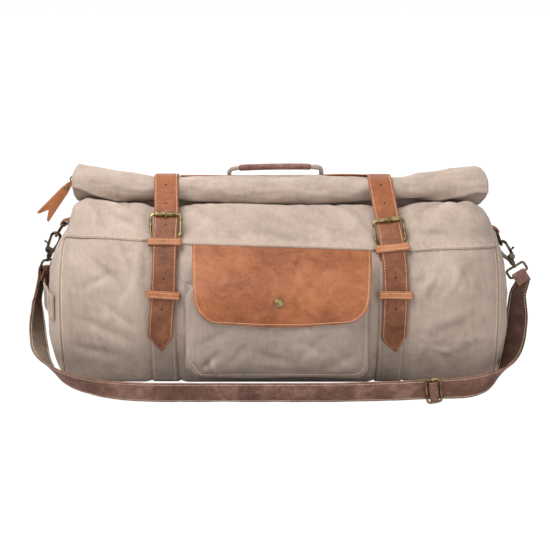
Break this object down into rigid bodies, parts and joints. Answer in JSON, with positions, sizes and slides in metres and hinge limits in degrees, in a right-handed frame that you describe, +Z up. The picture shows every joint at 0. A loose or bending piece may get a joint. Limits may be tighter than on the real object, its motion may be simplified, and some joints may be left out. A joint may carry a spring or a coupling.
{
  "type": "roll-top travel bag",
  "caption": "Canvas roll-top duffel with leather buckle straps, flap pocket, top handle and clip-on shoulder strap, lying on its base.",
  "frame": {"origin": "middle of the flat base, on the floor", "axes": "+X along the bag to the right seen from the pocket, -Y toward the pocket side, +Z up"},
  "size_m": [0.6406, 0.2833, 0.2698],
  "materials": {
    "canvas": "washed cotton canvas",
    "canvas_dark": "woven cotton webbing",
    "leather_tan": "oiled tan leather",
    "leather_brown": "oiled brown leather",
    "leather_dark": "waxed dark brown leather",
    "brass": "antique brass"
  },
  "bodies": {
    "bag": {"lower_panel": "canvas", "yoke_panel": "canvas", "end_panel_left": "canvas", "end_panel_right": "canvas", "roll_top": "canvas", "pocket": "canvas", "band_left": "canvas_dark", "band_right": "canvas_dark", "handle_core": "canvas_dark", "end_grab_left": "canvas_dark", "pocket_flap": "leather_tan", "handle_bridge": "leather_tan", "zip_pull": "leather_tan", "keeper_upper_left": "leather_tan", "keeper_upper_right": "leather_tan", "keeper_lower_left": "leather_tan", "keeper_lower_right": "leather_tan", "ring_tab_left": "leather_tan", "ring_tab_right": "leather_tan", "handle_grip": "leather_brown", "buckle_strap_left": "leather_brown", "buckle_strap_right": "leather_brown", "chape_left": "leather_brown", "chape_right": "leather_brown", "shoulder_strap": "leather_dark", "slider_wrap": "leather_dark", "pocket_snap": "brass", "strap_slider": "brass", "zip_slider": "brass", "zip_ring": "brass", "zip_rivet": "brass", "buckle_frame_left": "brass", "buckle_frame_right": "brass", "buckle_prong_left": "brass", "buckle_prong_right": "brass", "d_ring_left": "brass", "d_ring_right": "brass", "clip_hook_left": "brass", "clip_hook_right": "brass", "clip_eye_left": "brass", "clip_eye_right": "brass"},
    "left_gate": {"clip_gate_left": "brass"},
    "right_gate": {"clip_gate_right": "brass"}
  },
  "joints": [
    {"name": "left_clip_gate", "type": "hinge", "parent": "bag", "child": "left_gate", "pos_m": [-0.29233, 0, 0.15765], "axis": [0, 1, 0], "range_deg": [0, 25], "stiffness_Nm_per_rad": 0.05},
    {"name": "right_clip_gate", "type": "hinge", "parent": "bag", "child": "right_gate", "pos_m": [0.30026, 0, 0.14901], "axis": [0, -1, 0], "range_deg": [0, 25], "stiffness_Nm_per_rad": 0.05}
  ]
}
